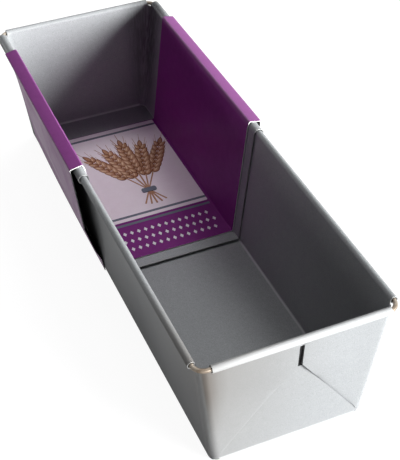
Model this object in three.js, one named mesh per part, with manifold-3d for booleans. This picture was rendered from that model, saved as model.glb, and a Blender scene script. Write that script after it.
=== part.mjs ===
// Adjustable loaf pan: two folded sheet-steel half pans that telescope, their rim wires and a printed card.
// Millimetres, +Z up. +Y runs along the pan, from the outer pan's end wall to the inner pan's.
// The origin is on the resting plane, under the middle of the pan as it stands at rest.
import * as THREE from "three";
import { mergeVertices } from "three/addons/utils/BufferGeometryUtils.js";
import Module from "manifold-3d";

// Driving dimensions of the whole pan
const rimHalfWidth = 53.7; // middle of the pan to the centre of a side bead
const rimHeight = 78.6; // resting plane to the centre of the beads
const outerLength = 194.5; // outer pan, end bead centre to open end
const innerLength = 170.8; // inner pan, end bead centre to open end
const restOverlap = 35.6; // how far the inner pan lies in the outer pan at rest
const sideRun = 9.2; // how far a side wall leans out over the rim height
const endRun = 5.8; // how far an end wall leans out over the rim height

// Sheet, bends and clearances
const sheet = 0.6;
const slideGap = 0.35; // between the two pans' walls and rims
const floorGap = 1.1; // between the two floors
const bendRadius = 2.2; // outside of the outer pan's floor bend
const cornerRadius = 4.5; // outside of the upright corners

// Rolled rims and wires
const wireRadius = 1.2;
const wireGap = 0.3;
const wireCornerRadius = 4; // centre line of the wire round a corner
const wireReturn = 4.6; // straight stretch of the inner pan's wire past its corner
const wireSetback = 1; // outer pan's wire stops this far inside the open end
const beadStop = 4; // beads stop this far from the corner of the rim
const beadEndAngle = -120; // degrees round the bead, where the rolled edge ends
const curlEndAngle = -75; // the inner pan's side curls end sooner, to pass the outer pan's wall
const rollOverlap = 15; // degrees that a rolled edge runs down into its wall

// Folded end walls
const flapLayers = 2; // folded layers on the outside of the end wall
const foldPeak = 60; // height where the two fold lines meet
const slitWidth = 1.8; // between the two flaps, above the fold lines
const slitTop = 72; // height where the slit ends
const notchDepth = 1.7; // the sheet is cut down this far at the rim's corners
const flapTopGap = 0.3; // flaps end this far under the end bead

// Card
const cardThickness = 0.5;
const cardGap = 0.3;
const cardRimGap = 0.5; // between the strip and the rolled rim under it
const cardRimLean = 0.9; // the wall leans out by this much more, over the rolled rim
const cardStrip = 7.5; // width of the strip over a rim
const cardStripFall = 1; // the strip's outer fold lies lower by this much
const cardFlapDrop = 43.7; // height of the outside flap, down to its lower fold
const cardFlapLean = 7; // the flap's lower fold stands in by this much
const cardFootHeight = 3; // the tuck below that fold ends at the pan's wall, this far up
const cardOpenSetback = 7.8; // from the inner pan's open end to the card
const cardEndSetback = 28.7; // from the inner pan's end bead centre to the card
const cardFoldInset = 1; // the floor panel's fold stands in from the pan's wall

// How finely round shapes are divided
const cornerSteps = 6;
const bendSteps = 4;
const rollSteps = 16;
const wireSides = 8;
const wireCornerSteps = 6;

// Sizes that follow
const restLength = outerLength + innerLength - restOverlap; // end bead centre to end bead centre
const beadRadius = wireRadius + wireGap + sheet;
const curlInside = beadRadius + slideGap;
const curlRadius = curlInside + sheet;
const endFlap = flapLayers * sheet;
const innerFloor = sheet + floorGap;
const innerBend = bendRadius - sheet - slideGap;
const overrun = 10; // cutters reach this far past what they cut

const wasm = await Module();
wasm.setup();

const radians = THREE.MathUtils.degToRad;

// Booleans between closed geometries
function toSolid(geometry) {
  const bare = geometry.clone();
  bare.deleteAttribute("normal");
  bare.deleteAttribute("uv");
  const merged = mergeVertices(bare, 1e-4);
  const vertProperties = new Float32Array(merged.attributes.position.array);
  const triVerts = new Uint32Array(merged.index.array);
  return new wasm.Manifold(new wasm.Mesh({ numProp: 3, vertProperties, triVerts }));
}

function toGeometry(solid) {
  const mesh = solid.getMesh();
  const geometry = new THREE.BufferGeometry();
  geometry.setAttribute("position", new THREE.BufferAttribute(new Float32Array(mesh.vertProperties), 3));
  geometry.setIndex(new THREE.BufferAttribute(new Uint32Array(mesh.triVerts), 1));
  geometry.computeVertexNormals();
  return geometry;
}

// A closed solid through rings of points, each ring turning left as seen from the last ring
function loft(rings) {
  const count = rings[0].length;
  const positions = rings.flat().flatMap((point) => [point.x, point.y, point.z]);
  const index = [];
  for (let ring = 0; ring + 1 < rings.length; ring += 1) {
    for (let i = 0; i < count; i += 1) {
      const a = ring * count + i;
      const b = ring * count + ((i + 1) % count);
      index.push(a, b, b + count, a, b + count, a + count);
    }
  }
  const last = (rings.length - 1) * count;
  for (let i = 1; i + 1 < count; i += 1) {
    index.push(0, i + 1, i);
    index.push(last, last + i, last + i + 1);
  }
  const geometry = new THREE.BufferGeometry();
  geometry.setAttribute("position", new THREE.Float32BufferAttribute(positions, 3));
  geometry.setIndex(index);
  geometry.computeVertexNormals();
  return geometry;
}

// A box given by its lowest and highest corners
function boxBetween(low, high) {
  const size = new THREE.Vector3().subVectors(high, low);
  const middle = new THREE.Vector3().addVectors(low, high).multiplyScalar(0.5);
  return new THREE.BoxGeometry(size.x, size.y, size.z).translate(middle.x, middle.y, middle.z);
}

// Half pans are drawn with the end bead's centre line at y = 0 and the open end towards +y

// Horizontal outline of a half pan at one height: square at the open end, round at the closed end's corners
function panOutline(z, halfWidth, closedY, openY, radius) {
  const points = [new THREE.Vector3(halfWidth, openY, z), new THREE.Vector3(-halfWidth, openY, z)];
  for (const [side, startAngle] of [[-1, 180], [1, 270]]) {
    const centreX = side * (halfWidth - radius);
    for (let step = 0; step <= cornerSteps; step += 1) {
      const angle = radians(startAngle + (90 * step) / cornerSteps);
      const x = centreX + radius * Math.cos(angle);
      const y = closedY + radius + radius * Math.sin(angle);
      points.push(new THREE.Vector3(x, y, z));
    }
  }
  return points;
}

// A leaning, round-bottomed block: the outside of a half pan, or the room inside it
function panBlock({ wallTop, endTop, floor, top, openY, bend, corner }) {
  const ring = (z, inset) => {
    const lean = 1 - z / rimHeight;
    const halfWidth = wallTop - sideRun * lean - inset;
    const closedY = endTop + endRun * lean + inset;
    return panOutline(z, halfWidth, closedY, openY, corner - inset);
  };
  const rings = [];
  for (let step = 0; step <= bendSteps; step += 1) {
    const angle = radians((90 * step) / bendSteps);
    rings.push(ring(floor + bend * (1 - Math.cos(angle)), bend * (1 - Math.sin(angle))));
  }
  rings.push(ring(top, 0));
  return loft(rings);
}

// A rolled edge: part of a tube along z, centred on the origin, from the wall's side over the top
function rolledEdge(outside, inside, endAngle, length) {
  const startAngle = 180 + rollOverlap;
  const arc = (radius, from, to) => {
    const points = [];
    for (let step = 0; step <= rollSteps; step += 1) {
      const angle = radians(from + ((to - from) * step) / rollSteps);
      points.push(new THREE.Vector2(radius * Math.cos(angle), radius * Math.sin(angle)));
    }
    return points;
  };
  const outline = [...arc(outside, startAngle, endAngle), ...arc(inside, endAngle, startAngle)];
  return new THREE.ExtrudeGeometry(new THREE.Shape(outline), { depth: length, bevelEnabled: false });
}

// A rolled edge along one side, with its wall towards the middle
function sideRoll(side, { outside, inside, endAngle }, fromY, toY) {
  const roll = rolledEdge(outside, inside, endAngle, toY - fromY).rotateX(Math.PI / 2);
  if (side > 0) return roll.translate(rimHalfWidth, toY, rimHeight);
  return roll.rotateZ(Math.PI).translate(-rimHalfWidth, fromY, rimHeight);
}

// A rolled edge across the closed end, with its wall towards +y
function endRoll() {
  const halfLength = rimHalfWidth - beadStop;
  return rolledEdge(beadRadius, beadRadius - sheet, beadEndAngle, 2 * halfLength)
    .rotateX(Math.PI / 2)
    .rotateZ(-Math.PI / 2)
    .translate(halfLength, 0, rimHeight);
}

// What the end wall's outside loses below and between its two folded flaps
function foldCutter(wallTop) {
  const slope = Math.atan2(endRun, rimHeight);
  const baseHalf = wallTop + sheet - sideRun;
  const along = (height) => height / Math.cos(slope);
  const side = baseHalf / foldPeak;
  const slitHalf = slitWidth / 2;
  const outline = [
    [-baseHalf - side * overrun, along(-overrun)],
    [baseHalf + side * overrun, along(-overrun)],
    [slitHalf, along(foldPeak - slitHalf / side)],
    [slitHalf, along(slitTop)],
    [-slitHalf, along(slitTop)],
    [-slitHalf, along(foldPeak - slitHalf / side)],
  ];
  const shape = new THREE.Shape(outline.map(([x, y]) => new THREE.Vector2(x, y)));
  const outsideAtFloor = beadRadius - sheet - endFlap + endRun;
  return new THREE.ExtrudeGeometry(shape, { depth: overrun, bevelEnabled: false })
    .translate(0, 0, -endFlap)
    .rotateX(Math.PI / 2 + slope)
    .translate(0, outsideAtFloor, 0);
}

// One folded half pan
function halfPan({ wallTop, floor, bend, length, curl }) {
  const outside = panBlock({
    wallTop: wallTop + sheet,
    endTop: beadRadius - sheet - endFlap,
    floor,
    top: rimHeight,
    openY: length,
    bend,
    corner: cornerRadius,
  });
  const room = panBlock({
    wallTop,
    endTop: beadRadius,
    floor: floor + sheet,
    top: rimHeight + overrun,
    openY: length + overrun,
    bend: bend - sheet,
    corner: cornerRadius - sheet,
  });
  const flapTop = rimHeight - beadRadius - flapTopGap;
  const beadRoom = boxBetween(
    new THREE.Vector3(-rimHalfWidth, -overrun, flapTop),
    new THREE.Vector3(rimHalfWidth, beadRadius - sheet, rimHeight + overrun),
  );
  let solid = toSolid(outside)
    .subtract(toSolid(room))
    .subtract(toSolid(foldCutter(wallTop)))
    .subtract(toSolid(beadRoom));
  for (const side of [-1, 1]) {
    const inEdge = side * (rimHalfWidth - beadStop);
    const outEdge = side * (rimHalfWidth + overrun);
    const notch = boxBetween(
      new THREE.Vector3(Math.min(inEdge, outEdge), -overrun, rimHeight - notchDepth),
      new THREE.Vector3(Math.max(inEdge, outEdge), beadStop, rimHeight + overrun),
    );
    solid = solid.subtract(toSolid(notch)).add(toSolid(sideRoll(side, curl, beadStop, length)));
  }
  return solid.add(toSolid(endRoll()));
}

// A wire round the closed end, with both sides reaching to endY
function rimWire(endY) {
  const stations = [];
  const straightX = rimHalfWidth - wireCornerRadius;
  const addStation = (x, y, heading) => {
    const across = new THREE.Vector3(-Math.sin(heading), Math.cos(heading), 0);
    const ring = [];
    for (let i = 0; i < wireSides; i += 1) {
      const angle = (2 * Math.PI * (i + 0.5)) / wireSides;
      const point = new THREE.Vector3(x, y, rimHeight);
      point.addScaledVector(across, wireRadius * Math.cos(angle));
      point.z += wireRadius * Math.sin(angle);
      ring.push(point);
    }
    stations.push(ring);
  };
  addStation(-rimHalfWidth, endY, radians(-90));
  for (const [side, startAngle] of [[-1, 180], [1, 270]]) {
    for (let step = 0; step <= wireCornerSteps; step += 1) {
      const angle = radians(startAngle + (90 * step) / wireCornerSteps);
      const x = side * straightX + wireCornerRadius * Math.cos(angle);
      const y = wireCornerRadius + wireCornerRadius * Math.sin(angle);
      addStation(x, y, angle + Math.PI / 2);
    }
  }
  addStation(rimHalfWidth, endY, radians(90));
  return loft(stations);
}

// The card's section, drawn along its middle line and thickened to both sides
function cardSection() {
  const leanPerHeight = sideRun / rimHeight;
  const half = cardThickness / 2;
  const floorZ = innerFloor + sheet + cardGap + half;
  const stripZ = rimHeight + curlRadius + cardRimGap + half;
  const leanZ = rimHeight + cardRimGap;
  const wallX = (z) => rimHalfWidth - curlRadius - cardGap - half - leanPerHeight * (rimHeight - z);
  const stripInX = wallX(stripZ) + cardRimLean;
  const stripOutX = stripInX + cardStrip;
  const panOutside = rimHalfWidth - beadRadius + sheet - leanPerHeight * (rimHeight - cardFootHeight);
  const rightHalf = [
    [wallX(floorZ) - cardFoldInset, floorZ],
    [wallX(floorZ + cardFoldInset), floorZ + cardFoldInset],
    [wallX(leanZ), leanZ],
    [stripInX, stripZ],
    [stripOutX, stripZ - cardStripFall],
    [stripOutX - cardFlapLean, stripZ - cardStripFall - cardFlapDrop],
    [panOutside + cardGap + half, cardFootHeight],
  ].map(([x, y]) => new THREE.Vector2(x, y));
  const leftHalf = rightHalf.map((point) => new THREE.Vector2(-point.x, point.y)).reverse();
  const line = [...leftHalf, ...rightHalf];
  const offsetLine = (distance) => line.map((point, i) => {
    const before = line[Math.max(i - 1, 0)];
    const after = line[Math.min(i + 1, line.length - 1)];
    const along = [new THREE.Vector2(), new THREE.Vector2()];
    along[0].subVectors(i > 0 ? point : after, i > 0 ? before : point).normalize();
    along[1].subVectors(i + 1 < line.length ? after : point, i + 1 < line.length ? point : before).normalize();
    const normals = along.map((direction) => new THREE.Vector2(-direction.y, direction.x));
    const mitre = normals[0].clone().add(normals[1]);
    mitre.multiplyScalar(distance / (1 + normals[0].dot(normals[1])));
    return point.clone().add(mitre);
  });
  return new THREE.Shape([...offsetLine(-half), ...offsetLine(half).reverse()]);
}

function cardInsert() {
  const length = innerLength - cardOpenSetback - cardEndSetback;
  return new THREE.ExtrudeGeometry(cardSection(), { depth: length, bevelEnabled: false })
    .rotateX(Math.PI / 2)
    .translate(0, cardEndSetback + length, 0);
}

// Materials
const coatedSteel = { color: 0x8d9092, metalness: 0.75, roughness: 0.38 };
const rimSteel = { color: 0xb3aa9c, metalness: 0.9, roughness: 0.35 };
const printedCard = { color: 0x6a2a6a, metalness: 0, roughness: 0.3 };

function piece(name, geometry, finish) {
  const mesh = new THREE.Mesh(geometry, new THREE.MeshStandardMaterial(finish));
  mesh.name = name;
  return mesh;
}

// The outer half, closed towards -Y
const outerHalf = new THREE.Group();
outerHalf.position.y = -restLength / 2;
const outerPan = halfPan({
  wallTop: rimHalfWidth - beadRadius,
  floor: 0,
  bend: bendRadius,
  length: outerLength,
  curl: { outside: beadRadius, inside: beadRadius - sheet, endAngle: beadEndAngle },
});
outerHalf.add(piece("outer_pan", toGeometry(outerPan), coatedSteel));
outerHalf.add(piece("outer_rim_wire", rimWire(outerLength - wireSetback), rimSteel));

// The inner half, turned to close towards +Y, with the card hooked over it
const innerHalf = new THREE.Group();
innerHalf.position.y = restLength / 2;
innerHalf.rotation.z = Math.PI;
const innerPan = halfPan({
  wallTop: rimHalfWidth - curlRadius,
  floor: innerFloor,
  bend: innerBend,
  length: innerLength,
  curl: { outside: curlRadius, inside: curlInside, endAngle: curlEndAngle },
});
innerHalf.add(piece("inner_pan", toGeometry(innerPan), coatedSteel));
innerHalf.add(piece("inner_rim_wire", rimWire(wireCornerRadius + wireReturn), rimSteel));
innerHalf.add(piece("card_insert", cardInsert(), printedCard));

const loafPan = new THREE.Group();
loafPan.add(outerHalf, innerHalf);

export default loafPan;
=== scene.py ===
# Adjustable loaf pan: two telescoping half pans of coated steel, their rim wires and a printed card.
# Everything is in metres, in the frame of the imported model: +Y along the pan, +Z up.
import math
from collections import namedtuple

import bmesh
import bpy
from mathutils import Matrix, Vector


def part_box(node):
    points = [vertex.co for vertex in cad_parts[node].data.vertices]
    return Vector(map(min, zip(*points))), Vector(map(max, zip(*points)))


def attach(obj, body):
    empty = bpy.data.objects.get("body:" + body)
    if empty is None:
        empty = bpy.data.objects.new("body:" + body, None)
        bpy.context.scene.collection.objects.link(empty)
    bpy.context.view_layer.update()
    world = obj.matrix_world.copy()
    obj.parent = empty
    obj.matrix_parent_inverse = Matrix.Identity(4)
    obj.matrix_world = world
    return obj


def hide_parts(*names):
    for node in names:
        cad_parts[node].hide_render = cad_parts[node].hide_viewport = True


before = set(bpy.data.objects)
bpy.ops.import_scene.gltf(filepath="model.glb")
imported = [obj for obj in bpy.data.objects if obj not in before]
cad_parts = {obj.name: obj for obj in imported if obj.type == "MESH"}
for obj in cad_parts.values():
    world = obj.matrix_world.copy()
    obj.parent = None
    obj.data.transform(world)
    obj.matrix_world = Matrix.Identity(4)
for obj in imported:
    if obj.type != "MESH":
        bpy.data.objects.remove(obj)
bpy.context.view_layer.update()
mm = 0.001

# Places read from the model
_, outer_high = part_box("outer_pan")
inner_low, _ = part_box("inner_pan")
wire_low, wire_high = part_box("outer_rim_wire")
inner_wire_low, inner_wire_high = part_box("inner_rim_wire")
card_low, card_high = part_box("card_insert")
wire_half = (wire_high.z - wire_low.z) / 2
rim_height = (wire_high.z + wire_low.z) / 2
rim_half_width = wire_high.x - wire_half
outer_end = wire_low.y + wire_half
inner_end = inner_wire_high.y - wire_half

# Sheet and bends
sheet = 0.6 * mm
slide_gap = 0.35 * mm
floor_gap = 1.1 * mm
side_run = 9.2 * mm
end_run = 5.8 * mm
bend_radius = 2.2 * mm
corner_radius = 4.8 * mm
inside_corner = corner_radius - sheet
bend_steps = 6
corner_steps = 8
edge_round = 0.1 * mm
wall_foot = 1.2 * mm
wall_shares = (0.33, 0.67, 1)
side_shares = (1, 0.8, 0.6, 0.4, 0.2, 0.05, 0)
end_shares = (0.25, 0.5, 0.75)
smooth_angle = 35
sharp_angle = 50

# Rolled rims and wires
wire_radius = 1.2 * mm
bead_radius = 2.1 * mm
curl_radius = bead_radius + slide_gap + sheet
side_bead_stop = 5.8 * mm
outer_end_stops = (5 * mm, 7.5 * mm)
inner_end_stops = (4.2 * mm, 4.2 * mm)
outer_notch = 1.7 * mm
inner_notch = 0.1 * mm
bead_end_angle = -120
curl_end_angle = -75
roll_steps = 28
rolled_columns = 3
stand_in_fade = 3
wire_corner_radius = 6 * mm
wire_corner_steps = 12
wire_sides = 20
wire_smooth_angle = 50

# Folded end walls
flap_proud = 0.4 * mm
flap_ease = 0.24 * mm
flap_seat = 0.02 * mm
flap_tuck = 0.3 * mm
flap_side_proud = 0.03 * mm
flap_run = 14 * mm
flap_side_shares = (1, 0.6, 0.3)
flap_flat_shares = (0.1, 0.2, 0.4, 0.55, 0.68, 0.8, 0.9, 1)
least_flat = 0.05 * mm
least_turn = 3
flap_bend_angles = (48, 56, 64, 72, 81, 90)
flap_steps = 16
slit_steps = 4
fold_steps = 6
ease_power = 6
fold_peak = 61.2 * mm
fold_round = 0.75
closed_gap_share = 0.3
flap_swell = 1.6 * mm
flap_swell_reach = 22 * mm
swell_start = 0.4 * fold_peak
swell_full = 0.9 * fold_peak
swell_at_rim = 0.35
slit_half = 1.3 * mm
slit_top = 73.2 * mm
slit_offset = 1.3 * mm
slit_tilt = 0.4 * mm
slit_floor_half = 2.4 * mm
slit_floor_proud = 0.03 * mm
slit_floor_depth = 0.1 * mm
slit_floor_below = 4 * mm
slit_floor_above = 2 * mm
flap_top_gap = 0.3 * mm
flap_top = rim_height - bead_radius - flap_top_gap

# Painted highlights and heat tint on the coating: amounts, and angles round an upright corner from the side
# wall
outer_bead_wear = 0.85
inner_bead_wear = 0.1
end_bend_highlight = 1.2
lit_corner_angle, lit_corner_spread, lit_corner_amount = 26, 20, 1.7
scorch_angle, scorch_spread, scorch_fall = 62, 18, 0.18
scorch_on_flat = (0.3, 0.05)
scorch_start = 0.3
scorch_full = 0.75
near_left_heat = 0.75
near_left_corner = {"Corner_X": -49.5 * mm, "Corner_Y": -160.5 * mm}
far_right_corner = {"Corner_X": 47 * mm, "Corner_Y": 154 * mm}

# Card
card_half = 0.25 * mm
card_clear = 0.3 * mm
card_floor_clear = 0.05 * mm
rim_lean_near = 0.9 * mm
rim_lean_far = 0 * mm
card_strip = 7.5 * mm
card_drop_near = 45.5 * mm
card_drop_far = 43.6 * mm
card_foot_near = 0.5 * mm
card_foot_far = 12 * mm
foot_power = 3
card_tuck_height = 18 * mm
card_heel_height = 10 * mm
card_heel_least = 1 * mm
heel_hug_near = 0.6
heel_hug_gain = 3
tuck_clear = 0.1 * mm
card_floor_flat = 20 * mm
card_floor_fold = 1.2 * mm
card_rim_fold = 0.9 * mm
card_outer_fold = 0.7 * card_rim_fold
card_wall_parts = (0.2, 0.4, 0.6, 0.8)
card_flap_parts = (0.12, 0.3, 0.5, 0.75)
card_strip_fall = 1.6 * mm
card_rows = 24
card_bulge = 0.5 * mm
card_fold_steps = 5
flap_lean_near = 5 * mm
flap_lean_far = 9 * mm
flap_sag = 0.4
# Painted sheen over the card's rim strips, with crease whitening on their folds; the left strip gets less,
# as the light falls from the right.
strip_sheen = 0.42
left_strip_sheen = 0.4
print_lift = 0.03 * mm

# Print on the card's floor panel
panel_half = 39.4 * mm
panel_near = card_low.y + 35 * mm
panel_far = card_high.y - 0.4 * mm
panel_round = 1 * mm
stripe_width = 2 * mm
stripe_round = 0.4 * mm
stripe_starts = (panel_near - 4.2 * mm, panel_near + 3 * mm, panel_far - 6 * mm)
lozenge_half_x, lozenge_half_y = 1.2 * mm, 1.9 * mm
lozenge_pitch = 4.6 * mm
lozenge_shift = 0.25
lozenge_columns = range(-8, 8)
lozenge_rows = 3
lozenge_near = card_low.y + 8.5 * mm
lozenge_row_pitch = 7.5 * mm

# Wheat sheaf: each ear has its stalk's length, its heading and its lowest layer
ears = ((22 * mm, -29, 3), (19 * mm, -14, 7), (22 * mm, 29, 3), (19 * mm, 14, 7), (23 * mm, 0, 11))
sheaf_foot = Vector((8.5 * mm, panel_near + 25 * mm))
tail_length = 15 * mm
stalk_widths = (1.1 * mm, 0.7 * mm)
ear_length = 29 * mm
ear_rows = 7
ear_slim = 0.72
ear_swell_start, ear_swell_end = 0.15, 0.9
seed_length = 8.6 * mm
seed_width = 4.4 * mm
seed_tilt = 26
seed_apart = 0.62
seed_tip = 0.45
lit_ahead = 0.4 * mm
lit_aside = 0.35 * mm
gleam_aside = 0.4 * mm
beard_length = 11 * mm
beard_tilt = 13
beard_widths = (0.35 * mm, 0.15 * mm)
tie_half = Vector((5 * mm, 2.2 * mm))
tie_round = 1.4 * mm
tie_layer = 15

# Camera, from the photograph's straight edges
camera_target = Vector((5.77, -29.93, 40.0)) * mm
camera_distance = 658.4 * mm
camera_azimuth = -22.73
camera_elevation = 40.24
camera_roll = -0.78
focal_pixels = 1141.9
image_height_pixels = 460
sensor_width = 36

# Studio
floor_half = 6
key_white = (0.985, 1.0, 1.0)
cool_white = (0.98, 0.99, 1.0)
sky_white = (0.97, 0.985, 1.0, 1)


# Shader building

def make_group(name, inputs, *outputs):
    """A shader node group with float inputs (name: value) and named float outputs."""
    tree = bpy.data.node_groups.new(name, "ShaderNodeTree")
    for label, value in inputs.items():
        socket = tree.interface.new_socket(name=label, in_out="INPUT", socket_type="NodeSocketFloat")
        socket.default_value = value
    for label in outputs:
        tree.interface.new_socket(name=label, in_out="OUTPUT", socket_type="NodeSocketFloat")
    return tree, tree.nodes.new("NodeGroupInput"), tree.nodes.new("NodeGroupOutput")


def add_node(tree, kind, links=None, **settings):
    """A node with its settings, and links or values for its inputs by name or number."""
    node = tree.nodes.new(kind)
    for key, value in settings.items():
        setattr(node, key, value)
    for key, value in (links or {}).items():
        if isinstance(value, bpy.types.NodeSocket):
            tree.links.new(value, node.inputs[key])
        else:
            node.inputs[key].default_value = value
    return node


def math_node(tree, operation, *values):
    return add_node(tree, "ShaderNodeMath", dict(enumerate(values)), operation=operation).outputs[0]


def fit_range(tree, value, low, high, to_low=0.0, to_high=1.0, smooth=False):
    """A value's range low to high taken to another range, and held at its ends."""
    links = {"Value": value, "From Min": low, "From Max": high, "To Min": to_low, "To Max": to_high}
    kind = "SMOOTHSTEP" if smooth else "LINEAR"
    return add_node(tree, "ShaderNodeMapRange", links, interpolation_type=kind).outputs["Result"]


def mix_colour(tree, factor, first, second):
    node = add_node(tree, "ShaderNodeMix", data_type="RGBA")
    for socket, value in ((node.inputs[0], factor), (node.inputs[6], first), (node.inputs[7], second)):
        if isinstance(value, bpy.types.NodeSocket):
            tree.links.new(value, socket)
        else:
            socket.default_value = value
    return node.outputs[2]


def product(tree, *values):
    return math_node(tree, "MULTIPLY", *values)


def point_amount(tree, label):
    """The amount that mark_points keeps under a label."""
    return add_node(tree, "ShaderNodeAttribute", attribute_name=label).outputs["Fac"]


def grey(value):
    return (value, value, value, 1)


def build_fine_grain():
    """The pebbly micro-texture of a sprayed coating or of paper: a mask round 0.5 and a height."""
    tree, given, result = make_group("fine_grain", {"Scale": 2500, "Clumps": 0.35}, "Mask", "Height")
    place = add_node(tree, "ShaderNodeTexCoord").outputs["Object"]
    fine_scale = given.outputs["Scale"]
    coarse_scale = product(tree, fine_scale, 0.12)
    fine = add_node(tree, "ShaderNodeTexNoise", {"Vector": place, "Scale": fine_scale, "Detail": 2.0})
    coarse = add_node(tree, "ShaderNodeTexNoise", {"Vector": place, "Scale": coarse_scale, "Detail": 3.0})
    mixed = add_node(tree, "ShaderNodeMix", {
        0: given.outputs["Clumps"], 2: fine.outputs["Fac"], 3: coarse.outputs["Fac"]}).outputs[0]
    tree.links.new(mixed, result.inputs["Mask"])
    tree.links.new(fine.outputs["Fac"], result.inputs["Height"])
    return tree


def build_smudges():
    """Broad uneven patches, as handling and spraying leave them: a mask from 0 to 1."""
    tree, given, result = make_group("smudges", {"Scale": 25}, "Mask")
    place = add_node(tree, "ShaderNodeTexCoord").outputs["Object"]
    noise = add_node(tree, "ShaderNodeTexNoise", {
        "Vector": place, "Scale": given.outputs["Scale"],
        "Detail": 4.0, "Roughness": 0.55, "Distortion": 0.6})
    tree.links.new(fit_range(tree, noise.outputs["Fac"], 0.35, 0.68, smooth=True), result.inputs["Mask"])
    return tree


def build_corner_tint_and_shade():
    """Round an upright corner, where heat tints the sheet or where shade is painted: a mask, strongest at
    the rim.
    """
    inputs = {"Corner X": 50 * mm, "Corner Y": 160 * mm, "Reach": 12 * mm,
              "Bottom": 30 * mm, "Top": 80 * mm, "Even": 0.5}
    tree, given, result = make_group("corner_tint_and_shade", inputs, "Mask")
    place = add_node(tree, "ShaderNodeTexCoord").outputs["Object"]
    axes = add_node(tree, "ShaderNodeSeparateXYZ", {0: place})
    off_x = math_node(tree, "SUBTRACT", axes.outputs["X"], given.outputs["Corner X"])
    off_y = math_node(tree, "SUBTRACT", axes.outputs["Y"], given.outputs["Corner Y"])
    squares = [product(tree, value, value) for value in (off_x, off_y)]
    distance = math_node(tree, "SQRT", math_node(tree, "ADD", *squares))
    near = fit_range(tree, distance, 0.0, given.outputs["Reach"], 1.0, 0.0, smooth=True)
    high = fit_range(tree, axes.outputs["Z"], given.outputs["Bottom"], given.outputs["Top"])
    streaks = add_node(tree, "ShaderNodeMapping", {"Vector": place, "Scale": (900, 900, 60)})
    noise = add_node(tree, "ShaderNodeTexNoise", {"Vector": streaks.outputs[0], "Scale": 1.0, "Detail": 3.0})
    uneven = fit_range(tree, noise.outputs["Fac"], 0.3, 0.6, given.outputs["Even"], 1.0)
    tree.links.new(product(tree, product(tree, near, high), uneven), result.inputs["Mask"])
    return tree


def build_painted_foot_shade():
    """Painted shade on the outside of the side walls, darker towards their foot: a mask."""
    inputs = {"Bottom": 0.0, "Top": 72 * mm}
    tree, given, result = make_group("painted_foot_shade", inputs, "Mask")
    coordinates = add_node(tree, "ShaderNodeTexCoord").outputs
    axes = add_node(tree, "ShaderNodeSeparateXYZ", {0: coordinates["Object"]})
    facing = add_node(tree, "ShaderNodeSeparateXYZ", {0: coordinates["Normal"]})
    outwards = product(tree, axes.outputs["X"], facing.outputs["X"])
    outside = fit_range(tree, outwards, 20 * mm, 38 * mm, smooth=True)
    low = fit_range(tree, axes.outputs["Z"], given.outputs["Bottom"], given.outputs["Top"], 1.0, 0.0)
    tree.links.new(product(tree, outside, low), result.inputs["Mask"])
    return tree


fine_grain = build_fine_grain()
smudges = build_smudges()
corner_tint_and_shade = build_corner_tint_and_shade()
painted_foot_shade = build_painted_foot_shade()


def place_group(tree, group, **values):
    node = tree.nodes.new("ShaderNodeGroup")
    node.node_tree = group
    for label, value in values.items():
        node.inputs[label.replace("_", " ")].default_value = value
    return node.outputs


def new_material(name, **sockets):
    """A material with one Principled shader, and plain values for its sockets."""
    material = bpy.data.materials.new(name)
    material.use_nodes = True
    tree = material.node_tree
    tree.nodes.clear()
    output = tree.nodes.new("ShaderNodeOutputMaterial")
    shader = tree.nodes.new("ShaderNodeBsdfPrincipled")
    tree.links.new(shader.outputs["BSDF"], output.inputs["Surface"])
    for label, value in sockets.items():
        shader.inputs[label.replace("_", " ")].default_value = value
    return material, tree, shader


def set_surface(tree, shader, colour, roughness):
    tree.links.new(colour, shader.inputs["Base Color"])
    tree.links.new(roughness, shader.inputs["Roughness"])


def add_bump(tree, shader, height, strength, distance):
    bump = add_node(tree, "ShaderNodeBump", {"Height": height, "Strength": strength, "Distance": distance})
    tree.links.new(bump.outputs["Normal"], shader.inputs["Normal"])


# Finishes

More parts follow.
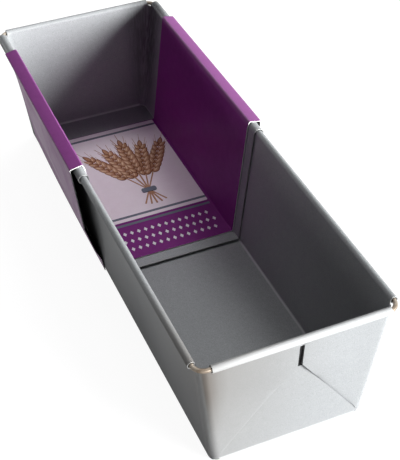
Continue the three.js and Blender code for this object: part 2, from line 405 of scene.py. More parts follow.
def coated_steel_finish():
    """Satin silver coating on sheet steel, heat-tinted at its near left corner, with painted shade at two
    corners and towards the foot of its side walls, and painted highlights on its bends, beads and flap
    corners.
    """
    material, tree, shader = new_material("coated_steel", Metallic=0.05, Specular_IOR_Level=0.065)
    grain = place_group(tree, fine_grain, Scale=2400, Clumps=0.15)
    patches = place_group(tree, smudges, Scale=16)
    browned = place_group(tree, corner_tint_and_shade, **near_left_corner, Reach=9 * mm, Bottom=48 * mm, Top=80 * mm)
    painted_corner_shade = place_group(tree, corner_tint_and_shade, **far_right_corner, Reach=22 * mm, Bottom=-60 * mm, Top=50 * mm)
    painted_near_left_shade = place_group(tree, corner_tint_and_shade, **near_left_corner, Reach=85 * mm,
                         Bottom=-90 * mm, Top=80 * mm, Even=1)
    foot = place_group(tree, painted_foot_shade)
    layers = (
        (product(tree, patches["Mask"], 0.06), (0.22, 0.22, 0.235, 1)),
        (browned["Mask"], (0.2, 0.14, 0.1, 1)),
        # Painted shade in the far right inside corner.
        (painted_corner_shade["Mask"], (0.06, 0.06, 0.065, 1)),
        # Painted shade, darker and warmer towards the near left corner.
        (product(tree, painted_near_left_shade["Mask"], 0.9), (0.19, 0.183, 0.176, 1)),
        # Painted shade, darker towards the foot of the side walls.
        (foot["Mask"], (0.157, 0.159, 0.164, 1)),
        # Painted highlights on the bends, the beads and the flap corners.
        (product(tree, point_amount(tree, "fold"), 0.55), (0.62, 0.62, 0.62, 1)),
        (point_amount(tree, "scorch"), (0.078, 0.063, 0.051, 1)),
    )
    sparkle = fit_range(tree, grain["Mask"], 0.3, 0.7)
    colour = mix_colour(tree, sparkle, (0.233, 0.24, 0.246, 1), (0.337, 0.344, 0.352, 1))
    for mask, tint in layers:
        colour = mix_colour(tree, mask, colour, tint)
    roughness = fit_range(tree, grain["Mask"], 0.3, 0.7, 0.38, 0.48)
    for mask, amount in ((patches["Mask"], 0.04), (foot["Mask"], 0.17)):
        roughness = math_node(tree, "ADD", roughness, product(tree, mask, amount))
    set_surface(tree, shader, colour, roughness)
    add_bump(tree, shader, grain["Height"], 0.12, 0.1 * mm)
    return material


def cut_steel_finish():
    """Bare sheared edges of the sheet."""
    material, tree, shader = new_material("cut_steel", Metallic=1.0)
    grain = place_group(tree, fine_grain, Scale=5200, Clumps=0.2)
    colour = mix_colour(tree, grain["Mask"], (0.26, 0.26, 0.26, 1), (0.5, 0.5, 0.49, 1))
    set_surface(tree, shader, colour, fit_range(tree, grain["Mask"], 0.2, 0.8, 0.25, 0.5))
    return material


def slit_shade_finish():
    """Painted shade for the slit between the flaps: a near-black sheet where the slit's shadow falls."""
    material, tree, shader = new_material("slit_shade", Specular_IOR_Level=0.1)
    patches = place_group(tree, smudges, Scale=300)
    colour = mix_colour(tree, patches["Mask"], (0.007, 0.007, 0.008, 1), (0.016, 0.015, 0.015, 1))
    set_surface(tree, shader, colour, fit_range(tree, patches["Mask"], 0, 1, 0.6, 0.8))
    return material


def rim_wire_finish():
    """Plain drawn wire with a brownish tarnish."""
    material, tree, shader = new_material("rim_wire", Metallic=0.55)
    patches = place_group(tree, smudges, Scale=240)
    grain = place_group(tree, fine_grain, Scale=4200, Clumps=0.4)
    colour = mix_colour(tree, patches["Mask"], (0.34, 0.292, 0.24, 1), (0.18, 0.136, 0.098, 1))
    set_surface(tree, shader, colour, fit_range(tree, grain["Mask"], 0.2, 0.8, 0.45, 0.65))
    add_bump(tree, shader, grain["Height"], 0.2, 0.08 * mm)
    return material


def printed_finish(name, low, high, grain_scale=1800):
    """Ink under a glossy film: a colour that drifts with the paper's grain, and lightens where the card is
    creased white and where a sheen is painted over its rim.
    """
    material, tree, shader = new_material(name, Coat_Weight=0.03, Coat_Roughness=0.1,
                                          Coat_IOR=1.5, Specular_IOR_Level=0.028)
    grain = place_group(tree, fine_grain, Scale=grain_scale, Clumps=0.5)
    patches = place_group(tree, smudges, Scale=40)
    ink = mix_colour(tree, fit_range(tree, grain["Mask"], 0.3, 0.7), (*low, 1), (*high, 1))
    # Crease whitening on the card's folds, with a painted sheen over its rim.
    crease_and_sheen = product(tree, point_amount(tree, "fold"), 0.22)
    colour = mix_colour(tree, crease_and_sheen, ink, (0.8, 0.66, 0.79, 1))
    set_surface(tree, shader, colour, fit_range(tree, patches["Mask"], 0, 1, 0.33, 0.4))
    add_bump(tree, shader, grain["Height"], 0.06, 0.06 * mm)
    return material


def board_finish(name, low, high):
    """Bare paper board."""
    material, tree, shader = new_material(name, Specular_IOR_Level=0.15)
    grain = place_group(tree, fine_grain, Scale=1500, Clumps=0.4)
    colour = mix_colour(tree, grain["Mask"], (*low, 1), (*high, 1))
    set_surface(tree, shader, colour, fit_range(tree, grain["Mask"], 0.2, 0.8, 0.75, 0.95))
    add_bump(tree, shader, grain["Height"], 0.3, 0.08 * mm)
    return material


coated_steel = coated_steel_finish()
cut_steel = cut_steel_finish()
slit_shade = slit_shade_finish()
rim_wire_steel = rim_wire_finish()
purple_print = printed_finish("purple_print", (0.190, 0.028, 0.186), (0.222, 0.037, 0.216))
pale_print = printed_finish("pale_print", (0.88, 0.79, 0.83), (0.93, 0.85, 0.89))
slate_print = printed_finish("slate_print", (0.15, 0.17, 0.21), (0.19, 0.21, 0.25))
crust_print = printed_finish("crust_print", (0.16, 0.065, 0.035), (0.34, 0.15, 0.085), 900)
grain_print = printed_finish("grain_print", (0.36, 0.18, 0.10), (0.56, 0.32, 0.20), 900)
straw_print = printed_finish("straw_print", (0.60, 0.40, 0.25), (0.78, 0.57, 0.40), 900)
white_print = printed_finish("white_print", (0.80, 0.78, 0.80), (0.87, 0.85, 0.87))
board_edge = board_finish("board_edge", (0.72, 0.71, 0.70), (0.9, 0.89, 0.88))
# Painted shade: the card's cut edges low on the outside, near-black.
shade_cut_edge = board_finish("shade_cut_edge", (0.003, 0.002, 0.003), (0.006, 0.004, 0.006))
# Painted shade: the card's back, dark grey, for the shade under its flaps.
shade_board_back = board_finish("shade_board_back", (0.05, 0.049, 0.048), (0.09, 0.088, 0.085))


# Mesh building

def add_object(name, data):
    thing = bpy.data.objects.new(name, data)
    bpy.context.scene.collection.objects.link(thing)
    return thing


def new_piece(name, points, faces, materials):
    mesh = bpy.data.meshes.new(name)
    mesh.from_pydata([tuple(point) for point in points], [], faces)
    for material in materials:
        mesh.materials.append(material)
    return add_object(name, mesh)


def mark_points(piece, label, amounts):
    """Keeps an amount for each point of a piece, which its finish reads as a painted highlight, as crease
    whitening with a painted sheen, or as heat.
    """
    marks = piece.data.attributes.new(label, "FLOAT", "POINT")
    for i, amount in enumerate(amounts):
        marks.data[i].value = amount


def smooth_by_angle(piece, degrees):
    piece.data.shade_smooth()
    piece.data.set_sharp_from_angle(angle=math.radians(degrees))


def apply_modifiers(piece):
    """The mesh as its modifiers leave it."""
    depsgraph = bpy.context.evaluated_depsgraph_get()
    finished = bpy.data.meshes.new_from_object(piece.evaluated_get(depsgraph))
    piece.modifiers.clear()
    old = piece.data
    piece.data = finished
    finished.name = piece.name
    bpy.data.meshes.remove(old)


def face_out(piece):
    """All the faces of a closed mesh turned outwards."""
    shell = bmesh.new()
    shell.from_mesh(piece.data)
    bmesh.ops.recalc_face_normals(shell, faces=shell.faces)
    shell.to_mesh(piece.data)
    shell.free()


def loft_piece(name, rings, materials, degrees=smooth_angle):
    """A closed solid through rings of points."""
    count = len(rings[0])
    points = [point for ring in rings for point in ring]
    faces = []
    last = (len(rings) - 1) * count
    for low in range(0, last, count):
        high = low + count
        for i in range(count):
            j = (i + 1) % count
            faces.append((low + i, low + j, high + j, high + i))
    faces.append(tuple(range(count)))
    faces.append(tuple(last + i for i in range(count)))
    piece = new_piece(name, points, faces, materials)
    face_out(piece)
    smooth_by_angle(piece, degrees)
    return piece


def thicken(piece, thickness, offset, rim_material, back_material=0):
    solidify = piece.modifiers.new("thickness", "SOLIDIFY")
    solidify.thickness = thickness
    solidify.offset = offset
    solidify.use_even_offset = True
    solidify.use_quality_normals = True
    solidify.material_offset = back_material
    solidify.material_offset_rim = rim_material


def ease_edges(piece, width):
    bevel = piece.modifiers.new("edges", "BEVEL")
    bevel.width = width
    bevel.segments = 2
    bevel.limit_method = "ANGLE"
    bevel.angle_limit = math.radians(sharp_angle)
    bevel.use_clamp_overlap = True


def dress(piece, body, slot, *nodes):
    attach(piece, body)
    if nodes:
        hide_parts(*nodes)


# Half pans

Column = namedtuple("Column", "kind side share roll")


class HalfPan(namedtuple("HalfPan", "body end_y facing length underside bend "
                         "roll_radius roll_end_angle end_stops notch bead_wear")):
    """One folded half. Its own y runs from the end bead's centre line to the open end."""

    @property
    def wall_top(self):
        return rim_half_width - self.roll_radius

    def half_width(self, z):
        return self.wall_top - side_run * (1 - z / rim_height)

    def end_face(self, z):
        return bead_radius + end_run * (1 - z / rim_height)

    def place(self, x, y, z):
        return Vector((x * self.facing, self.end_y + y * self.facing, z))

    def plan_point(self, column, z, inset):
        """Where a column of the inside face stands at one height."""
        half = self.half_width(z)
        corner_y = self.end_face(z) + inside_corner
        if column.kind == "side":
            return column.side * (half - inset), corner_y + (self.length - corner_y) * column.share
        if column.kind == "corner":
            reach = inside_corner - inset
            angle = math.radians(90 * column.share)
            across = half - inside_corner + reach * math.cos(angle)
            return column.side * across, corner_y - reach * math.sin(angle)
        return (half - inside_corner) * (1 - 2 * column.share), self.end_face(z) + inset

    def corner_columns(self, end_stop):
        """Upright lines round the right corner, rolled up to the bead stops, and the end wall's first."""
        rim_corner = self.end_face(rim_height) + inside_corner
        side_turn = math.degrees(math.asin((rim_corner - side_bead_stop) / inside_corner)) / 90
        end_half = self.wall_top - inside_corner
        rolled_turn = rim_half_width - end_stop - end_half
        if rolled_turn > 0:
            end_turn = 1 - math.degrees(math.asin(rolled_turn / inside_corner)) / 90
            turns = [end_turn + (1 - end_turn) * step / rolled_columns for step in range(rolled_columns)]
            rolled = [Column("corner", 1, turn, "end") for turn in turns]
            first = [Column("end", 1, 0, "end")]
        else:
            end_turn = 1
            rolled = []
            first = [Column("end", 1, 0, None), Column("end", 1, -rolled_turn / (2 * end_half), "end")]
        bare_steps = corner_steps + rolled_columns - len(rolled)
        turns = [side_turn * step / rolled_columns for step in range(1, rolled_columns + 1)]
        corner = [Column("corner", 1, turn, "side") for turn in turns]
        for step in range(1, bare_steps):
            turn = side_turn + (end_turn - side_turn) * step / bare_steps
            corner.append(Column("corner", 1, turn, None))
        return corner + rolled, first

    def columns(self):
        """Upright lines of the sheet, from the right open end round to the left one."""
        wall = [Column("side", 1, share, "side") for share in side_shares]
        right_corner, first = self.corner_columns(self.end_stops[0])
        left_corner, last = self.corner_columns(self.end_stops[1])
        right = wall + right_corner
        left = [column._replace(side=-1) for column in reversed(wall + left_corner)]
        end = first + [Column("end", 1, share, "end") for share in end_shares]
        end += [column._replace(share=1 - column.share) for column in reversed(last)]
        return right, end, left


def rolled_rim(pan, column):
    """Points of the rim over one column: up the wall's inside, over the top and round."""
    rim_x, rim_y = pan.plan_point(column, rim_height, 0)
    across_end = column.roll == "end"
    radius = bead_radius if across_end else pan.roll_radius
    last = bead_end_angle if across_end else pan.roll_end_angle
    stand_in = rim_y - bead_radius if across_end else pan.wall_top - abs(rim_x)
    places = []
    for step in range(roll_steps + 1):
        angle = math.radians(180 + (last - 180) * step / roll_steps)
        fade = max(0, 1 - stand_in_fade * step / roll_steps) ** 2
        out = radius * math.cos(angle) - stand_in * fade
        z = rim_height + radius * math.sin(angle)
        if across_end:
            places.append((rim_x, -out, z))
        else:
            places.append((column.side * (rim_half_width + out), rim_y, z))
    return places


def sheet_highlight(pan, column, row, wall_rows):
    """How much highlight is painted on one row of a column: on the floor's bends and the end bead."""
    if row >= wall_rows:
        return pan.bead_wear if column.roll == "end" else 0
    if column.kind == "end" and row <= bend_steps:
        return min(row / 2, 1) * end_bend_highlight
    return math.sin(math.pi * min(row / bend_steps, 1)) ** 4


def pan_sheet(name, pan):
    """Floor, walls and rolled rims of one half, as one folded sheet."""
    floor_top = pan.underside + sheet
    inner_bend = pan.bend - sheet
    rows = []
    for step in range(bend_steps + 1):
        angle = math.radians(90 * step / bend_steps)
        rows.append((floor_top + inner_bend * (1 - math.cos(angle)), inner_bend * (1 - math.sin(angle))))
    notch_z = rim_height - pan.notch
    rows.append((rows[-1][0] + wall_foot, 0))
    rows += [(rows[-1][0] + (notch_z - rows[-1][0]) * share, 0) for share in wall_shares]
    wall_rows = len(rows)
    right, end, left = pan.columns()
    columns = right + end + left
    points = []
    folds = []
    ladders = []
    for column in columns:
        ladder = []
        places = [(*pan.plan_point(column, z, inset), z) for z, inset in rows]
        if column.roll:
            places += rolled_rim(pan, column)
        for row, (x, y, z) in enumerate(places):
            ladder.append(len(points))
            points.append(pan.place(x, y, z))
            folds.append(sheet_highlight(pan, column, row, wall_rows))
        ladders.append(ladder)
    faces = []
    for a, b, first, second in zip(ladders, ladders[1:], columns, columns[1:]):
        height = len(a) if first.roll and first.roll == second.roll else wall_rows
        for row in range(height - 1):
            faces.append((a[row], b[row], b[row + 1], a[row + 1]))
    for i in range(len(right) - 1):
        faces.append((ladders[i][0], ladders[-1 - i][0], ladders[-2 - i][0], ladders[i + 1][0]))
    end_line = [ladder[0] for ladder in ladders[len(right):len(right) + len(end)]]
    faces.append((ladders[len(right) - 1][0], ladders[-len(right)][0], *reversed(end_line)))
    piece = new_piece(name, points, faces, [coated_steel, cut_steel])
    mark_points(piece, "fold", folds)
    thicken(piece, sheet, -1, 1)
    ease_edges(piece, edge_round)
    apply_modifiers(piece)
    smooth_by_angle(piece, smooth_angle)
    return piece


def held(value):
    """A value held between 0 and 1."""
    return min(max(value, 0), 1)


def hump(value, middle, spread):
    """A smooth hump of height 1 at its middle."""
    off = (value - middle) / spread
    return math.exp(-off * off)


def slit_axis(z):
    """How far the slit's middle stands to the right of the end wall's middle at one height."""
    return slit_offset + slit_tilt * held((z - fold_peak) / (slit_top - fold_peak))


def mark_flap(piece, levels, count, heat):
    """Paints a highlight on a flap's upright corner, and browns it beside that, towards the rim."""
    lit_corner = [0] * count
    browned = [0] * count
    first = len(flap_side_shares)
    for step in range(corner_steps + 1):
        angle = 90 * step / corner_steps
        lit_corner[first + step] = lit_corner_amount * hump(angle, lit_corner_angle, lit_corner_spread)
        past = (angle - scorch_angle) / scorch_spread
        browned[first + step] = hump(past, 0, 1) if past < 0 else 1 - scorch_fall * past
    flat = first + corner_steps + 1
    browned[flat:flat + len(scorch_on_flat)] = scorch_on_flat
    scorched = []
    for z in levels:
        rise = held((z / flap_top - scorch_start) / (scorch_full - scorch_start))
        scorched += [heat * rise * amount for amount in browned]
    mark_points(piece, "fold", lit_corner * len(levels))
    mark_points(piece, "scorch", scorched)


def end_flap(name, pan, side, heat):
    """One folded flap on the outside of the end wall, wrapped round the upright corner."""
    base_half = pan.half_width(0) + sheet
    slope = (base_half - side * slit_offset) / fold_peak
    slit_start = fold_peak - slit_half / slope
    closed_half = flap_proud / 2 * fold_round * closed_gap_share

    def fold_line(z):
        gap = slit_half if z < slit_top else closed_half
        return max(side * slit_axis(z) + gap, base_half - slope * z)

    def outline(z, inset, tuck, proud, swell, ease):
        """The flap's section from its side edge round to the fold, and the fold's direction."""
        out_x = pan.half_width(z) + sheet - tuck - inset
        out_y = pan.end_face(z) - sheet - proud + inset
        radius = corner_radius - inset
        centre_x, centre_y = out_x - radius, out_y + radius
        flat = min(fold_line(z) - centre_x, 0)
        turn = 90
        if flat == 0:
            reach = min(1, (fold_line(z) - centre_x) / radius)
            turn = max(least_turn, math.degrees(math.acos(reach)))
        line = [(out_x, centre_y + flap_run * share) for share in flap_side_shares]
        for step in range(corner_steps + 1):
            angle = math.radians(turn * step / corner_steps)
            line.append((centre_x + radius * math.cos(angle), centre_y - radius * math.sin(angle)))
        last_x, last_y = line[-1]
        along = (-math.sin(math.radians(turn)), -math.cos(math.radians(turn)))
        for share in flap_flat_shares:
            reach = max(-flat, least_flat) * share
            x, y = last_x + along[0] * reach, last_y + along[1] * reach
            swollen = swell * hump(x, side * slit_axis(z), flap_swell_reach)
            line.append((x, y - swollen + ease * share ** ease_power))
        return line, along

    heights = []
    for angle in flap_bend_angles:
        turn = math.radians(angle)
        heights.append((pan.underside + pan.bend * (1 - math.cos(turn)), pan.bend * (1 - math.sin(turn))))
    low = heights[-1][0]
    heights += [(low + (slit_start - low) * step / flap_steps, 0) for step in range(1, flap_steps + 1)]
    slit_rise = slit_top - slit_start
    heights += [(slit_start + slit_rise * step / slit_steps, 0) for step in range(1, slit_steps)]
    heights += [(slit_top - edge_round, 0), (slit_top + edge_round, 0), (flap_top, 0)]
    rings = []
    for z, inset in heights:
        rise = held((z - swell_start) / (swell_full - swell_start))
        fade = held((flap_top - z) / (flap_top - swell_full))
        swell = flap_swell * rise ** 2 * (swell_at_rim + (1 - swell_at_rim) * fade)
        outside, along = outline(z, inset, -flap_side_proud, flap_proud, swell, flap_ease)
        inside, _ = outline(z, inset, flap_tuck, flap_seat, 0, 0)
        edge, back = Vector(outside[-1]), Vector(inside[-1])
        middle, across = (edge + back) / 2, (edge - back) / 2
        bulge = Vector(along) * min(across.length, flap_proud / 2) * fold_round
        fold = []
        for step in range(1, fold_steps):
            angle = math.pi * step / fold_steps
            fold.append(tuple(middle + across * math.cos(angle) + bulge * math.sin(angle)))
        ring = outside + fold + list(reversed(inside))
        rings.append([pan.place(side * x, y, z) for x, y in ring])
    piece = loft_piece(name, rings, [coated_steel])
    mark_flap(piece, [z for z, _ in heights], len(rings[0]), heat)
    return piece


def slit_shade_strip(name, pan):
    """A near-black strip of end wall between the two flaps: painted shade for the slit's shadow."""
    rings = []
    for z in (fold_peak - slit_floor_below, fold_peak, slit_top, slit_top + slit_floor_above):
        face = pan.end_face(z) - sheet
        left, right = slit_axis(z) - slit_floor_half, slit_axis(z) + slit_floor_half
        front, back = face - slit_floor_proud, face + slit_floor_depth
        ring = ((left, front), (right, front), (right, back), (left, back))
        rings.append([pan.place(x, y, z) for x, y in ring])
    return loft_piece(name, rings, [slit_shade])


def rim_wire(name, pan, reach):
    """A wire round the closed end, with both sides reaching along the pan."""
    stations = [(-rim_half_width, reach, -90)]
    for side, start in ((-1, 180), (1, 270)):
        centre_x = side * (rim_half_width - wire_corner_radius)
        for step in range(wire_corner_steps + 1):
            angle = start + 90 * step / wire_corner_steps
            turn = math.radians(angle)
            x = centre_x + wire_corner_radius * math.cos(turn)
            y = wire_corner_radius * (1 + math.sin(turn))
            stations.append((x, y, angle + 90))
    stations.append((rim_half_width, reach, 90))
    rings = []
    for x, y, heading in stations:
        turn = math.radians(heading)
        ring = []
        for i in range(wire_sides):
            angle = 2 * math.pi * i / wire_sides
            out = wire_radius * math.cos(angle)
            z = rim_height + wire_radius * math.sin(angle)
            ring.append(pan.place(x - out * math.sin(turn), y + out * math.cos(turn), z))
        rings.append(ring)
    return loft_piece(name, rings, [rim_wire_steel], wire_smooth_angle)


outer_half = HalfPan(
    "outer_half", end_y=outer_end, facing=1, length=outer_high.y - outer_end, underside=0,
    bend=bend_radius, roll_radius=bead_radius, roll_end_angle=bead_end_angle, end_stops=outer_end_stops,
    notch=outer_notch, bead_wear=outer_bead_wear)
inner_half = HalfPan(
    "inner_half", end_y=inner_end, facing=-1, length=inner_end - inner_low.y, underside=sheet + floor_gap,
    bend=bend_radius - sheet - slide_gap, roll_radius=curl_radius, roll_end_angle=curl_end_angle,
    end_stops=inner_end_stops, notch=inner_notch, bead_wear=inner_bead_wear)
outer_wire_reach = wire_high.y - outer_end
inner_wire_reach = inner_end - inner_wire_low.y

for label, pan, reach in (("outer", outer_half, outer_wire_reach), ("inner", inner_half, inner_wire_reach)):
    dress(pan_sheet(label + "_pan_sheet", pan), pan.body, "coated_steel", label + "_pan")
    for side_name, side in (("left", -1), ("right", 1)):
        heat = near_left_heat if label == "outer" and side < 0 else 0
        flap = end_flap(label + "_end_flap_" + side_name, pan, side * pan.facing, heat)
        dress(flap, pan.body, "coated_steel", label + "_pan")
    dress(slit_shade_strip(label + "_slit_shade_strip", pan), pan.body, "coated_steel", label + "_pan")
    wire = rim_wire(label + "_wire", pan, reach)
    dress(wire, pan.body, "rim_wire", label + "_rim_wire")


# Card

def card_crease_and_sheen(point, bend):
    """How much lighter the film is: a painted sheen over the rim, and most along its two folds, where the
    card is also creased white.
    """
    if point.y < card_strip_z - card_strip_fall - card_rim_fold:
        return 0
    return strip_sheen + (1 - strip_sheen) * bend


def rounded_line(corners, steps):
    """A line through corners given as (x, z, radius), each corner rounded, and how much crease whitening and
    painted sheen each point gets.
    """
    points = []
    folds = []
    for i, (x, z, radius) in enumerate(corners):
        here = Vector((x, z))
        if i in (0, len(corners) - 1) or radius == 0:
            points.append(here)
            folds.append(0)
            continue
        before = (Vector(corners[i - 1][:2]) - here).normalized()
        after = (Vector(corners[i + 1][:2]) - here).normalized()
        half = before.angle(after) / 2
        back = radius / math.tan(half)
        start, end = here + before * back, here + after * back
        for step in range(steps + 1):
            t = step / steps
            points.append(start * (1 - t) ** 2 + here * (2 * t * (1 - t)) + end * t ** 2)
            folds.append(card_crease_and_sheen(points[-1], math.sin(math.pi * t)))
    return points, folds


card_floor_z = inner_half.underside + sheet + card_floor_clear + card_half
card_strip_z = card_high.z - card_half


def card_wall_x(z):
    return inner_half.half_width(z) - card_clear - card_half


def tuck_wall_x(z):
    return outer_half.half_width(z) + sheet + tuck_clear + card_half


def card_section(share):
    """Half of the card's section at a share of its length, from the floor's middle to the tuck's foot."""
    def along(near, far):
        return near + (far - near) * share

    fold_in = card_wall_x(card_strip_z) + along(rim_lean_near, rim_lean_far)
    fold_out = fold_in + card_strip
    fold_z = card_strip_z - card_strip_fall
    lean = along(flap_lean_near, flap_lean_far)
    drop = along(card_drop_near, card_drop_far) - card_strip_fall
    sag = 1 - flap_sag * share
    corners = [(0, card_floor_z, 0), (card_floor_flat, card_floor_z, 0)]
    corners.append((card_wall_x(card_floor_z), card_floor_z, card_floor_fold))
    bulge = card_bulge * math.sin(math.pi * share)
    for rise in card_wall_parts:
        z = card_floor_z + (rim_height - card_floor_z) * rise
        corners.append((card_wall_x(z) - bulge * math.sin(math.pi * rise), z, 0))
    corners.append((card_wall_x(rim_height), rim_height, card_floor_fold))
    corners.append((fold_in, card_strip_z, card_rim_fold))
    corners.append((fold_out, fold_z, card_outer_fold))
    for part in card_flap_parts:
        corners.append((fold_out - lean * part ** sag, fold_z - drop * part, 0))
    lower_x, lower_z = fold_out - lean, fold_z - drop
    corners.append((lower_x, lower_z, card_rim_fold))
    foot = card_foot_near + (card_foot_far - card_foot_near) * share ** foot_power
    tuck_part = (lower_z - card_tuck_height) / (lower_z - foot)
    straight_x = lower_x + (tuck_wall_x(foot) - lower_x) * tuck_part
    tuck_x = along(straight_x, tuck_wall_x(card_tuck_height))
    corners.append((tuck_x, card_tuck_height, card_floor_fold))
    heel = max(card_heel_height, foot + card_heel_least)
    heel_part = (card_tuck_height - heel) / (card_tuck_height - foot)
    heel_x = tuck_x + (tuck_wall_x(foot) - tuck_x) * heel_part
    hug = min(1, heel_hug_near + heel_hug_gain * share)
    corners.append((heel_x + (tuck_wall_x(heel) - heel_x) * hug, heel, 0))
    corners.append((tuck_wall_x(foot), foot, 0))
    return rounded_line(corners, card_fold_steps)


def card_piece():
    """The whole card: a printed face, a back painted dark as shade, white cut edges, and near-black ones low
    on the outside as painted shade.
    """
    cut, back, painted_shade_edge = 1, 2, 3
    length = card_high.y - card_low.y
    rows = []
    folds = []
    for row in range(card_rows + 1):
        share = row / card_rows
        right, crease_and_sheen = card_section(share)
        left = [Vector((-point.x, point.y)) for point in reversed(right[1:])]
        y = card_low.y + length * share
        rows.append([(point.x, y, point.y) for point in left + right])
        folds += [left_strip_sheen * crease for crease in reversed(crease_and_sheen[1:])] + crease_and_sheen
    count = len(rows[0])
    points = [point for row in rows for point in row]
    faces = []
    for row in range(card_rows):
        for i in range(count - 1):
            a = row * count + i
            faces.append((a, a + 1, a + count + 1, a + count))
    piece = new_piece("card", points, faces, [purple_print, board_edge, shade_board_back, shade_cut_edge])
    mark_points(piece, "fold", folds)
    thicken(piece, 2 * card_half, 0, cut, back)
    apply_modifiers(piece)
    # Cut edges low on the outside take the near-black painted shade.
    for face in piece.data.polygons:
        low_outside = abs(face.center.x) > rim_half_width - side_run and face.center.z < rim_height / 2
        if low_outside and face.material_index == cut:
            face.material_index = painted_shade_edge
    smooth_by_angle(piece, smooth_angle)
    return piece


dress(card_piece(), "inner_half", "printed_card", "card_insert")


# Print on the card's floor panel

def flat_print(name, *inks):
    """Inked shapes on the floor panel, as thin plates.

    Each ink is (outlines, material, layer), and an outline is a list of (x, y) that turns left.
    """
    bottom = card_floor_z + card_half - print_lift
    points = []
    faces = []
    slots = []
    for number, (outlines, _, layer) in enumerate(inks):
        top = card_floor_z + card_half + print_lift * layer
        for outline in outlines:
            start, count = len(points), len(outline)
            points += [(x, y, bottom) for x, y in outline]
            points += [(x, y, top) for x, y in outline]
            faces.append(tuple(start + i for i in reversed(range(count))))
            faces.append(tuple(start + count + i for i in range(count)))
            for i in range(count):
                j = (i + 1) % count
                faces.append((start + i, start + j, start + count + j, start + count + i))
            slots += [number] * (count + 2)
    piece = new_piece(name, points, faces, [material for _, material, _ in inks])
    piece.data.polygons.foreach_set("material_index", slots)
    dress(piece, "inner_half", "printed_card")


def rounded_box(low, high, radius, steps=6):
    outline = []
    corners = ((high[0] - radius, high[1] - radius, 0), (low[0] + radius, high[1] - radius, 90),
               (low[0] + radius, low[1] + radius, 180), (high[0] - radius, low[1] + radius, 270))
    for x, y, start in corners:
        for step in range(steps + 1):
            angle = math.radians(start + 90 * step / steps)
            outline.append((x + radius * math.cos(angle), y + radius * math.sin(angle)))
    return outline


def heading_axes(heading):
    """Ahead and to the right, for a heading in degrees to the right of straight ahead."""
    turn = math.radians(heading)
    return Vector((math.sin(turn), math.cos(turn))), Vector((math.cos(turn), -math.sin(turn)))


def seed_shape(middle, heading, length, width, steps=8):
    """A seed lying along its heading, round at its foot and pointed at its tip."""
    ahead, aside = heading_axes(heading)
    outline = []
    for side in (1, -1):
        for step in range(steps):
            share = step / steps if side > 0 else 1 - step / steps
            wide = side * math.sin(math.pi * share ** 0.8) ** 0.8 * width / 2
            outline.append(tuple(middle + ahead * length * (share - 0.5) + aside * wide))
    return outline


def strip_shape(start, end, start_width, end_width):
    ahead = (end - start).normalized()
    aside = Vector((ahead.y, -ahead.x))
    corners = (start + aside * start_width / 2, end + aside * end_width / 2,
               end - aside * end_width / 2, start - aside * start_width / 2)
    return [tuple(corner) for corner in corners]


def wheat_ear(name, stalk_length, heading, layer):
    """One stalk of the sheaf with its ear: beards, husks, seeds and the light on them."""
    ahead, aside = heading_axes(heading)
    ear_start = sheaf_foot + ahead * stalk_length
    husks, seeds, lights, beards = [], [], [], []

    def seed(middle, tilt, size, long=1, wide=1):
        return seed_shape(middle, tilt, seed_length * long * size, seed_width * wide * size)

    for row in range(ear_rows):
        share = row / (ear_rows - 1)
        level = ear_start + ahead * ear_length * share
        phase = ear_swell_start + (ear_swell_end - ear_swell_start) * share
        size = ear_slim + (1 - ear_slim) * math.sin(math.pi * phase)
        for side in (-1, 1):
            tilt = heading + side * seed_tilt
            middle = level + aside * side * seed_width * seed_apart * size
            lit = middle + ahead * lit_ahead - aside * lit_aside
            husks.append(seed(middle, tilt, size))
            seeds.append(seed(lit, tilt, size, long=0.8, wide=0.74))
            lights.append(seed(lit - aside * gleam_aside, tilt, size, long=0.5, wide=0.28))
            reach, _ = heading_axes(heading + side * beard_tilt)
            beards.append(strip_shape(middle, middle + reach * beard_length, *beard_widths))
    tip = ear_start + ahead * (ear_length + seed_length * seed_tip)
    husks.append(seed(tip, heading, 1, wide=0.8))
    seeds.append(seed(tip, heading, 1, long=0.75, wide=0.5))
    beards.append(strip_shape(tip, tip + ahead * beard_length, *beard_widths))
    stalk = strip_shape(sheaf_foot - ahead * tail_length, ear_start + ahead * ear_length, *stalk_widths)
    flat_print(name, (beards + [stalk], grain_print, layer), (husks, crust_print, layer + 1),
               (seeds, grain_print, layer + 2), (lights, straw_print, layer + 3))


ground = rounded_box((-panel_half, panel_near), (panel_half, panel_far), panel_round)
flat_print("print_ground", ([ground], pale_print, 1))

stripes = []
for start in stripe_starts:
    stripes.append(rounded_box((-panel_half, start), (panel_half, start + stripe_width), stripe_round, 2))
flat_print("print_stripes", (stripes, slate_print, 2))

for number, (stalk_length, heading, layer) in enumerate(ears, 1):
    wheat_ear("print_ear_" + str(number), stalk_length, heading, layer)
tie = rounded_box(sheaf_foot - tie_half, sheaf_foot + tie_half, tie_round)
flat_print("print_tie", ([tie], slate_print, tie_layer))

lozenges = []
for row in range(lozenge_rows):
    y = lozenge_near + row * lozenge_row_pitch
    for column in lozenge_columns:
        x = (column + lozenge_shift + 0.5 * (row % 2)) * lozenge_pitch
        lozenges.append([(x + lozenge_half_x, y), (x, y + lozenge_half_y),
                         (x - lozenge_half_x, y), (x, y - lozenge_half_y)])
flat_print("print_lozenges", (lozenges, white_print, 1))


# Floor, light and camera

def seen_directly(tree):
    """1 for what the camera, a reflection or glass shows, 0 for the light that a surface scatters."""
    rays = add_node(tree, "ShaderNodeLightPath").outputs
    shown = math_node(tree, "MAXIMUM", rays["Is Camera Ray"], rays["Is Glossy Ray"])
    return math_node(tree, "MAXIMUM", shown, rays["Is Transmission Ray"])


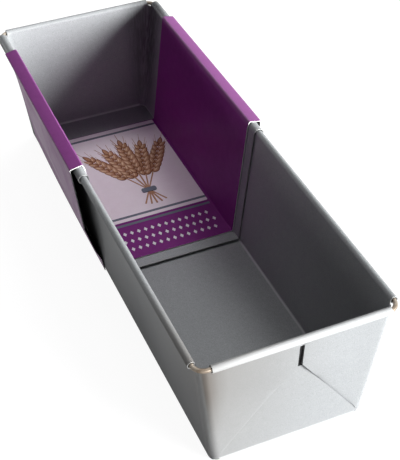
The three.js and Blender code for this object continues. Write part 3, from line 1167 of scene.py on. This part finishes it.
def studio_floor(colour, glow):
    """Pale paper that shows lighter than it lights the pan, and keeps the pan's shadow."""
    points = [(x * floor_half, y * floor_half, 0) for x, y in ((-1, -1), (1, -1), (1, 1), (-1, 1))]
    floor_paper, tree, shader = new_material("floor_paper", Roughness=0.9, Specular_IOR_Level=0.1)
    grain = place_group(tree, fine_grain, Scale=300, Clumps=0.5)
    paper = mix_colour(tree, grain["Mask"], grey(colour - 0.02), grey(colour + 0.02))
    tree.links.new(paper, shader.inputs["Base Color"])
    shader.inputs["Emission Color"].default_value = grey(1)
    tree.links.new(product(tree, seen_directly(tree), glow), shader.inputs["Emission Strength"])
    floor = new_piece("studio_floor", points, [(0, 1, 2, 3)], [floor_paper])


def direction(azimuth, elevation):
    """Away from the pan. Azimuth 0 is out from its near end, and 90 is to its right."""
    turn, rise = math.radians(azimuth), math.radians(elevation)
    return Vector((math.sin(turn) * math.cos(rise), -math.cos(turn) * math.cos(rise), math.sin(rise)))


def soft_sun(name, azimuth, elevation, spread, strength, colour):
    """A distant soft lamp that stands in a direction from the pan."""
    lamp = bpy.data.lights.new(name, "SUN")
    lamp.energy = strength
    lamp.angle = math.radians(spread)
    lamp.color = colour
    holder = add_object(name, lamp)
    holder.rotation_mode = "QUATERNION"
    holder.rotation_quaternion = direction(azimuth, elevation).to_track_quat("Z", "Y")


def studio_world(strength, shown_strength):
    world = bpy.data.worlds.new("studio")
    bpy.context.scene.world = world
    world.use_nodes = True
    tree = world.node_tree
    background = tree.nodes["Background"]
    background.inputs["Color"].default_value = sky_white
    shown = fit_range(tree, seen_directly(tree), 0, 1, strength, shown_strength)
    tree.links.new(shown, background.inputs["Strength"])


def photo_camera():
    data = bpy.data.cameras.new("photo_camera")
    data.sensor_width = sensor_width
    data.lens = focal_pixels * sensor_width / image_height_pixels
    data.clip_start = 0.01
    camera = add_object("photo_camera", data)
    back = direction(camera_azimuth, camera_elevation)
    level = (-back).cross(Vector((0, 0, 1))).normalized()
    upright = level.cross(-back)
    roll = math.radians(camera_roll)
    right = level * math.cos(roll) + upright * math.sin(roll)
    up = upright * math.cos(roll) - level * math.sin(roll)
    turn = Matrix((right, up, back)).transposed()
    camera.matrix_world = Matrix.Translation(camera_target + back * camera_distance) @ turn.to_4x4()
    bpy.context.scene.camera = camera


studio_floor(colour=0.15, glow=0.94)
soft_sun("key_lamp", azimuth=38, elevation=9.1, spread=34, strength=12.4, colour=key_white)
soft_sun("top_lamp", azimuth=135, elevation=57, spread=22, strength=1.1, colour=cool_white)
soft_sun("back_lamp", azimuth=178, elevation=62, spread=18, strength=0.42, colour=cool_white)
soft_sun("front_lamp", azimuth=6, elevation=12, spread=14, strength=0.22, colour=cool_white)
soft_sun("left_lamp", azimuth=206, elevation=2.5, spread=8, strength=0.75, colour=cool_white)
studio_world(strength=0.02, shown_strength=0.6)
photo_camera()
bpy.context.scene.view_settings.view_transform = "Standard"
